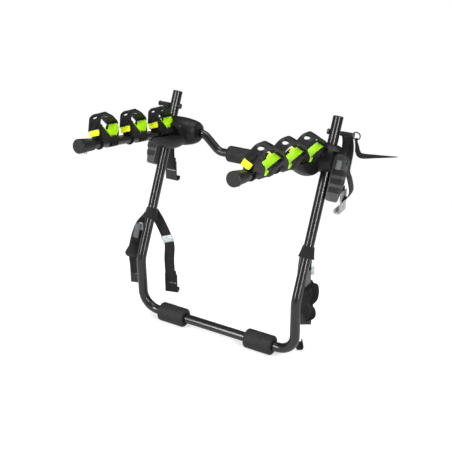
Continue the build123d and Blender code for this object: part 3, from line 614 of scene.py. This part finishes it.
bm = bmesh.new()
eye(bm, Vector((-STRAP_MID_X, ANCHOR.y, ANCHOR.z)), EYE_R, EYE_STEPS, WEB_W)
points = [Vector((-STRAP_MID_X, ANCHOR.y + back, ANCHOR.z + up)) for back, up in TOP_LEFT]
hooked_strap(bm, points, X_AXIS, -Y_AXIS, per_span=10, wave=0.0002)
add_mesh(
    "webbing_top_left", bm, PAINT["web_black"], "frame", replaced="web_top_left"
)

bm = bmesh.new()
eye(bm, Vector((STRAP_MID_X, ANCHOR.y, ANCHOR.z)), EYE_R, EYE_STEPS, WEB_W)
end = Vector((STRAP_MID_X, ANCHOR.y + TOP_RIGHT_BACK, ANCHOR.z - TOP_RIGHT_DOWN))
line = smooth_line([end + Vector(offset) for offset, _ in TOP_RIGHT], per_span=8)
ribbon(bm, line, smooth_line([side for _, side in TOP_RIGHT], per_span=8), WEB_W, WEB_T)
turned_end(bm, end, X_AXIS, Y_AXIS)
add_mesh(
    "webbing_top_right", bm, PAINT["web_black"], "frame", replaced="web_top_right"
)


# ---- pointed strap on the right ring ---------------------------------------

RING_R = 0.008
RING = Vector((UPRIGHT_X + TUBE_R + 2 * WEB_T + WEB_W + RING_R, ANCHOR.y, ANCHOR.z))
POINTED_ROUTE = (
    (0.0, -0.0105), (0.003, -0.022), (0.0055, -0.033), (0.014, -0.0405), (0.045, -0.0365),
    (0.090, -0.0295),
)
POINTED_WIDTHS = (0.005, 0.008, 0.011, 0.0115, 0.007, 0.0012)
POINTED_LEAST_W = 0.0008
POINTED_UV = (0.004, 0.002)
POINTED_EYE_R = 0.0029
POINTED_EYE_STEPS = 20

bm = bmesh.new()
line = smooth_line([RING + Vector((x, 0, z)) for x, z in POINTED_ROUTE], per_span=10)
widths = smooth_line([Vector((w, 0, 0)) for w in POINTED_WIDTHS], per_span=10)
rows = []
for i, point in enumerate(line):
    wide = heading(line, i).cross(Y_AXIS).normalized()
    half = max(widths[i].x, POINTED_LEAST_W) / 2
    rows.append([
        bm.verts.new(point + wide * half * u + Y_AXIS * WEB_T / 2 * v)
        for u, v in ((-1, 1), (-1, -1), (1, -1), (1, 1))
    ])
skin(bm, rows, lambda i, j: (j * POINTED_UV[0], i * POINTED_UV[1]))
eye(bm, RING - UP * RING_R, POINTED_EYE_R, POINTED_EYE_STEPS, POINTED_WIDTHS[0])
add_mesh(
    "webbing_side_right", bm, PAINT["web_black"], "frame", replaced="web_side_right"
)


# ---- stitches and labels ---------------------------------------------------

STITCHES = 9
STITCH_HALF = 0.0010
STITCH_W = 0.0006
STITCH_T = 0.0005

# Seams across the lower straps: face, middle, width and how far they stand before the tape
SEAMS = (
    (left, (0.0405, -0.113), 0.024, 0.0001),
    (left, (-0.0455, -0.084), 0.024, 0.0026),
    (right, (0.0018, -0.128), 0.020, 0.0001),
)

bm = bmesh.new()
for face, spot, width, before in SEAMS:
    front = in_face(face, (spot,), WRAP_BACK - WEB_T / 2 - before)[0]
    for step in range(STITCHES):
        middle = front + face.across * width * (step - STITCHES // 2) / STITCHES
        reach = face.across * STITCH_HALF
        ribbon(bm, [middle - reach, middle, middle + reach], UP, STITCH_W, STITCH_T)
add_mesh("seam_stitches", bm, THREAD, "frame")

# Blank labels: a tag on both faces of the left inner strap, and a small one on each outer strap
LABEL_LIFT = 0.0004
TAG_SPOT = (0.0375, -0.062)
TAG_TILT = math.radians(18)
TAG_DROPS = (0.0085, 0.003, -0.003, -0.0085)
TAG_W = 0.0268
TAG_T = 0.0007
SMALL_DROPS = (0.010, 0.003, -0.003, -0.010)
SMALL_W = 0.009
SMALL_T = 0.0008
SMALL_LABELS = (
    (left, (-0.027, -0.038), WRAP_BACK - WEB_T / 2 - LABEL_LIFT),
    (right, (0.013, -0.046), WRAP_BACK + WEB_T / 2 - LABEL_LIFT),
)

bm = bmesh.new()
along = left.across * math.cos(TAG_TILT) + UP * math.sin(TAG_TILT)
drop = UP * math.cos(TAG_TILT) - left.across * math.sin(TAG_TILT)
middle = in_face(left, (TAG_SPOT,), WRAP_BACK)[0]
for level in (1, -1):
    shift = left.normal * level * (WEB_T / 2 + LABEL_LIFT)
    ribbon(bm, [middle + shift + drop * t for t in TAG_DROPS], along, TAG_W, TAG_T)
for face, spot, back in SMALL_LABELS:
    middle = in_face(face, (spot,), back)[0]
    ribbon(bm, [middle + UP * t for t in SMALL_DROPS], face.across, SMALL_W, SMALL_T)
add_mesh("blank_tags", bm, PAINT["label_blank"], "frame", replaced="strap_labels")


# ---- foam pads -------------------------------------------------------------

PAD_RIM = 0.0045
PAD_RIM_STEPS = 6
PAD_SPANS = 14
PAD_TURNS = 64
PAD_BORE_GAP = 0.0002
PAD_DENT = 0.00035
PAD_DENT_SCALE = 60.0
PAD_DENT_ABOVE = 0.002  # the bore and the inner part of the end faces stay even


def foam_pad(node, bore, body):
    """A foam sleeve along X with soft rims and a slightly uneven skin, in its CAD node's box."""
    low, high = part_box(node)
    centre = (low + high) / 2
    half = (high.x - low.x) / 2
    radius = (high.z - low.z) / 2
    end = [(-half, bore), (-half, (bore + radius - PAD_RIM) / 2)]
    for step in range(PAD_RIM_STEPS + 1):
        angle = math.pi / 2 * step / PAD_RIM_STEPS
        x = -half + PAD_RIM * (1 - math.cos(angle))
        end.append((x, radius - PAD_RIM * (1 - math.sin(angle))))
    straight = 2 * half - 2 * PAD_RIM
    middle = [
        (-half + PAD_RIM + straight * step / PAD_SPANS, radius) for step in range(1, PAD_SPANS)
    ]
    bm = bmesh.new()
    rows = []
    for x, r in end + middle + [(-x, r) for x, r in reversed(end)]:
        row = []
        for step in range(PAD_TURNS):
            angle = 2 * math.pi * step / PAD_TURNS
            out = Vector((0, math.cos(angle), math.sin(angle)))
            dent = 0.0
            if r > bore + PAD_DENT_ABOVE:
                spot = (X_AXIS * x + out * r) * PAD_DENT_SCALE
                dent = min(0.0, PAD_DENT * noise.noise(spot))
            row.append(bm.verts.new(centre + X_AXIS * x + out * (r + dent)))
        rows.append(row)
    skin(bm, rows + [rows[0]], caps=False)
    pad = add_mesh(node + "_foam", bm, PAINT["foam_black"], body, replaced=node)


foam_pad("bumper_pad_left", TUBE_R + PAD_BORE_GAP, "frame")
foam_pad("bumper_pad_right", TUBE_R + PAD_BORE_GAP, "frame")
foam_pad("trunk_pad_center", ARM_R + PAD_BORE_GAP, "arms")


# ---- trim on the levers and hubs -------------------------------------------

CORNER_STEPS = 5
PLATE_EDGE = 0.6  # share of its thickness at which a plate starts to narrow
PLATE_TOP = 0.94  # share of its size that is left on top


def plate(name, origin, axes, size, corner, material, body):
    """A thin rounded plate whose back lies on origin; axes are its across, up and normal."""
    across, up, normal = axes
    width, height, thick = size
    ring = []
    for cx, cy, start in ((1, 1, 0), (-1, 1, 90), (-1, -1, 180), (1, -1, 270)):
        for step in range(CORNER_STEPS + 1):
            angle = math.radians(start + 90 * step / CORNER_STEPS)
            x = cx * (width / 2 - corner) + corner * math.cos(angle)
            ring.append((x, cy * (height / 2 - corner) + corner * math.sin(angle)))
    bm = bmesh.new()
    rows = []
    for share, depth in ((1.0, 0.0), (1.0, thick * PLATE_EDGE), (PLATE_TOP, thick)):
        spots = [across * x * share + up * y * share + normal * depth for x, y in ring]
        rows.append([bm.verts.new(origin + spot) for spot in spots])
    skin(bm, rows)
    add_mesh(name, bm, material, body)


LEVER_X = 0.2285
LEVER_DEEP = 0.024
PANEL_DOWN = 0.0115
PANEL_SINK = 0.0001
PANEL_SIZE = (0.011, 0.020, 0.0007)
PANEL_CORNER = 0.002
HUB_SEAM_X = 0.138
HUB_SEAM_STEPS = 72
HUB_SEAM_W = 0.0009
HUB_SEAM_T = 0.0004
HUB_SEAM_LIFT = 0.0001
HUB_SCREW_X = 0.152
HUB_SCREW_R = 0.0034
HUB_SCREW_T = 0.0006
HUB_SCREW_SINK = 0.0002
HUB_SCREW_CORNER = 0.99 * HUB_SCREW_R
HUB_SCREW_TURN = math.radians(12)
RAY_START = 0.08  # from the fold axis, outside the hub


def hub_details(side, word):
    """The seam round a hub's inner end, drawn as a darker matte strip of painted groove shade, and
    the screw on its front, laid on the CAD surface.
    """
    shell = nodes["hub_shell_" + word].data
    tree = BVHTree.FromPolygons(
        [v.co for v in shell.vertices], [list(f.vertices) for f in shell.polygons]
    )

    def cast(x, angle):
        """Where a ray towards the fold axis meets the hub: the place, its normal, the way out."""
        out = FORE_DIR * math.cos(angle) + LEAN_DIR * math.sin(angle)
        hit, normal = tree.ray_cast(beside_pivot(side, x) + out * RAY_START, -out)[:2]
        return hit, normal, out

    line = []
    for step in range(HUB_SEAM_STEPS + 1):
        hit, _, out = cast(HUB_SEAM_X, 2 * math.pi * step / HUB_SEAM_STEPS)
        line.append(hit + out * HUB_SEAM_LIFT)
    # The strip along the seam is painted groove shade, darker and more matte than the hub
    bm = bmesh.new()
    ribbon(bm, line, X_AXIS, HUB_SEAM_W, HUB_SEAM_T)
    add_mesh("hub_seam_shade_" + word, bm, SEAM_SHADE, "arms")

    hit, normal, _ = cast(HUB_SCREW_X, HUB_SCREW_TURN)
    wide = normal.cross(LEAN_DIR).normalized()
    plate(
        "hub_screw_" + word, hit - normal * HUB_SCREW_SINK, (wide, normal.cross(wide), normal),
        (2 * HUB_SCREW_R, 2 * HUB_SCREW_R, HUB_SCREW_T), HUB_SCREW_CORNER,
        SCREW, "arms",
    )


for side, word in SIDES:
    face_middle = beside_pivot(side, LEVER_X) - LEAN_DIR * PANEL_DOWN
    plate(
        "lever_panel_" + word, face_middle + FORE_DIR * (LEVER_DEEP / 2 - PANEL_SINK),
        (X_AXIS, LEAN_DIR, FORE_DIR), PANEL_SIZE, PANEL_CORNER,
        PANEL, "lever_" + word,
    )
for side, word in SIDES:
    hub_details(side, word)


# ---- cheeks of the cradles -------------------------------------------------

CHEEK_T = 0.0008
CHEEK_SINK = 0.0004
CHEEK_EDGE = 0.5
CHEEK_TOP = 0.97

# Outline along the arm and up from it, on a cradle's outer face
CHEEK = (
    (-0.0270, 0.0030), (-0.0310, 0.0060), (-0.0470, 0.0200), (-0.0528, 0.0280),
    (-0.0475, 0.0352), (-0.0380, 0.0265), (-0.0310, 0.0205), (-0.0290, 0.0120),
)


def cradle_frame(side, number):
    """Origin, fore, out and up directions of cradle 1 (at the cap) to 3 (at the hub)."""
    arm_dir = Vector((0, -math.cos(ARM_RISE), math.sin(ARM_RISE)))
    arm_up = Vector((0, math.sin(ARM_RISE), math.cos(ARM_RISE)))
    up = arm_up * math.cos(CRADLE_ROLL) + X_AXIS * math.sin(CRADLE_ROLL)
    out = X_AXIS * math.cos(CRADLE_ROLL) - arm_up * math.sin(CRADLE_ROLL)
    fore = arm_dir * math.cos(CRADLE_YAW) - out * math.sin(CRADLE_YAW)
    out = up.cross(fore)
    reach = CRADLE_NEAR + (CRADLE_COUNT - number) * CRADLE_STEP
    origin = beside_pivot(1, ARM_X) + arm_dir * reach
    return [mirrored(side, v) for v in (origin, fore, out, up)]


def cheek(name, side, number):
    """A thin black web on a cradle's outer face that leaves the green fan narrow below it."""
    origin, fore, out, up = cradle_frame(side, number)
    corners = [Vector(p) for p in CHEEK]
    middle = Vector((sum(p.x for p in corners), sum(p.y for p in corners))) / len(corners)
    bm = bmesh.new()
    rows = []
    for share, depth in ((1.0, -CHEEK_SINK), (1.0, CHEEK_T * CHEEK_EDGE), (CHEEK_TOP, CHEEK_T)):
        row = []
        for corner in corners:
            a, h = middle + (corner - middle) * share
            spot = origin + fore * a + up * h + out * (SADDLE_W / 2 + depth)
            row.append(bm.verts.new(spot))
        rows.append(row)
    skin(bm, rows)
    add_mesh(name, bm, PAINT["cradle_black"], "arms")


for side, word in SIDES:
    for number in range(1, CRADLE_COUNT + 1):
        cheek("cradle_cheek_%s_%d" % (word, number), side, number)


# ---- stage, light and camera -----------------------------------------------

FLOOR_HALF = 6.0
FLOOR_COLOR = (0.86, 0.86, 0.86, 1)
FLOOR_GLOW = 0.5  # light added to the floor for the camera alone
FADE_START, FADE_END = 0.45, 1.1  # where the floor turns to plain white for the camera
WORLD_SOFT = 0.2
WHITE = (1, 1, 1, 1)

# Area lamps: name, place, aim, size and power in watts
LAMPS = (
    ("key_left", (-1.1, -2.2, 1.5), (0, 0, 0.25), (0.3, 1.8), 44.0),
    ("key_right", (2.2, -1.3, 1.3), (0, 0, 0.25), (0.3, 1.8), 44.0),
    ("top", (0.2, 0.3, 2.3), (0, 0, 0.2), (1.6, 1.6), 24.0),
)


def floor_paint():
    """A pale floor that keeps the object's shadow and fades to white for camera rays."""
    material = bpy.data.materials.new("floor_white")
    material.use_nodes = True
    tree = material.node_tree
    tree.nodes.clear()
    link = tree.links.new
    camera_ray = add_node(tree, "ShaderNodeLightPath").outputs["Is Camera Ray"]
    surface = add_node(tree, "ShaderNodeBsdfDiffuse", Color=FLOOR_COLOR)
    glow = add_node(tree, "ShaderNodeEmission")
    link(multiply(tree, camera_ray, FLOOR_GLOW), glow.inputs["Strength"])
    total = add_node(tree, "ShaderNodeAddShader")
    link(surface.outputs[0], total.inputs[0])
    link(glow.outputs[0], total.inputs[1])
    away = add_node(tree, "ShaderNodeVectorMath", operation="LENGTH")
    link(add_node(tree, "ShaderNodeTexCoord").outputs["Object"], away.inputs[0])
    fade = add_node(
        tree, "ShaderNodeMapRange", **{"From Min": FADE_START, "From Max": FADE_END}
    )
    link(away.outputs["Value"], fade.inputs["Value"])
    blend = add_node(tree, "ShaderNodeMixShader")
    link(multiply(tree, fade.outputs["Result"], camera_ray), blend.inputs["Fac"])
    link(total.outputs[0], blend.inputs[1])
    link(add_node(tree, "ShaderNodeEmission").outputs[0], blend.inputs[2])
    link(blend.outputs[0], add_node(tree, "ShaderNodeOutputMaterial").inputs["Surface"])
    return material


def studio_world():
    """Soft even light on the object, and plain white for camera rays."""
    world = bpy.data.worlds.new("studio")
    world.use_nodes = True
    tree = world.node_tree
    tree.nodes.clear()
    soft = add_node(tree, "ShaderNodeBackground", Color=WHITE, Strength=WORLD_SOFT)
    white = add_node(tree, "ShaderNodeBackground", Color=WHITE, Strength=1.0)
    camera_ray = add_node(tree, "ShaderNodeLightPath").outputs["Is Camera Ray"]
    mix = add_node(tree, "ShaderNodeMixShader")
    tree.links.new(camera_ray, mix.inputs["Fac"])
    tree.links.new(soft.outputs[0], mix.inputs[1])
    tree.links.new(white.outputs[0], mix.inputs[2])
    tree.links.new(mix.outputs[0], add_node(tree, "ShaderNodeOutputWorld").inputs["Surface"])
    return world


def softbox(name, place, aim, size, power):
    """A rectangular area lamp at a place, turned to its aim."""
    lamp = bpy.data.lights.new(name, "AREA")
    lamp.shape = "RECTANGLE"
    lamp.size, lamp.size_y = size
    lamp.energy = power
    lit = bpy.data.objects.new(name, lamp)
    lit.location = place
    lit.rotation_euler = (Vector(aim) - Vector(place)).to_track_quat("-Z", "Y").to_euler()
    bpy.context.scene.collection.objects.link(lit)


bm = bmesh.new()
bmesh.ops.create_grid(bm, x_segments=1, y_segments=1, size=FLOOR_HALF)
floor_mesh = bpy.data.meshes.new("floor")
bm.to_mesh(floor_mesh)
bm.free()
floor_mesh.materials.append(floor_paint())
floor = bpy.data.objects.new("floor", floor_mesh)
floor.location = (0, 0, FLOOR_Z)
bpy.context.scene.collection.objects.link(floor)

bpy.context.scene.world = studio_world()
for lamp_facts in LAMPS:
    softbox(*lamp_facts)

camera_data = bpy.data.cameras.new("camera")
camera_data.lens = CAMERA_LENS
camera_data.sensor_width = CAMERA_SENSOR
camera_data.sensor_fit = "HORIZONTAL"
camera_data.clip_start = CAMERA_NEAR
camera = bpy.data.objects.new("camera", camera_data)
away = Vector((
    math.sin(CAMERA_AZIMUTH) * math.cos(CAMERA_ELEVATION),
    -math.cos(CAMERA_AZIMUTH) * math.cos(CAMERA_ELEVATION),
    math.sin(CAMERA_ELEVATION),
))
camera.location = CAMERA_TARGET + away * CAMERA_DISTANCE
camera.rotation_euler = (-away).to_track_quat("-Z", "Y").to_euler()
bpy.context.scene.collection.objects.link(camera)
bpy.context.scene.camera = camera
bpy.context.scene.view_settings.view_transform = "Standard"
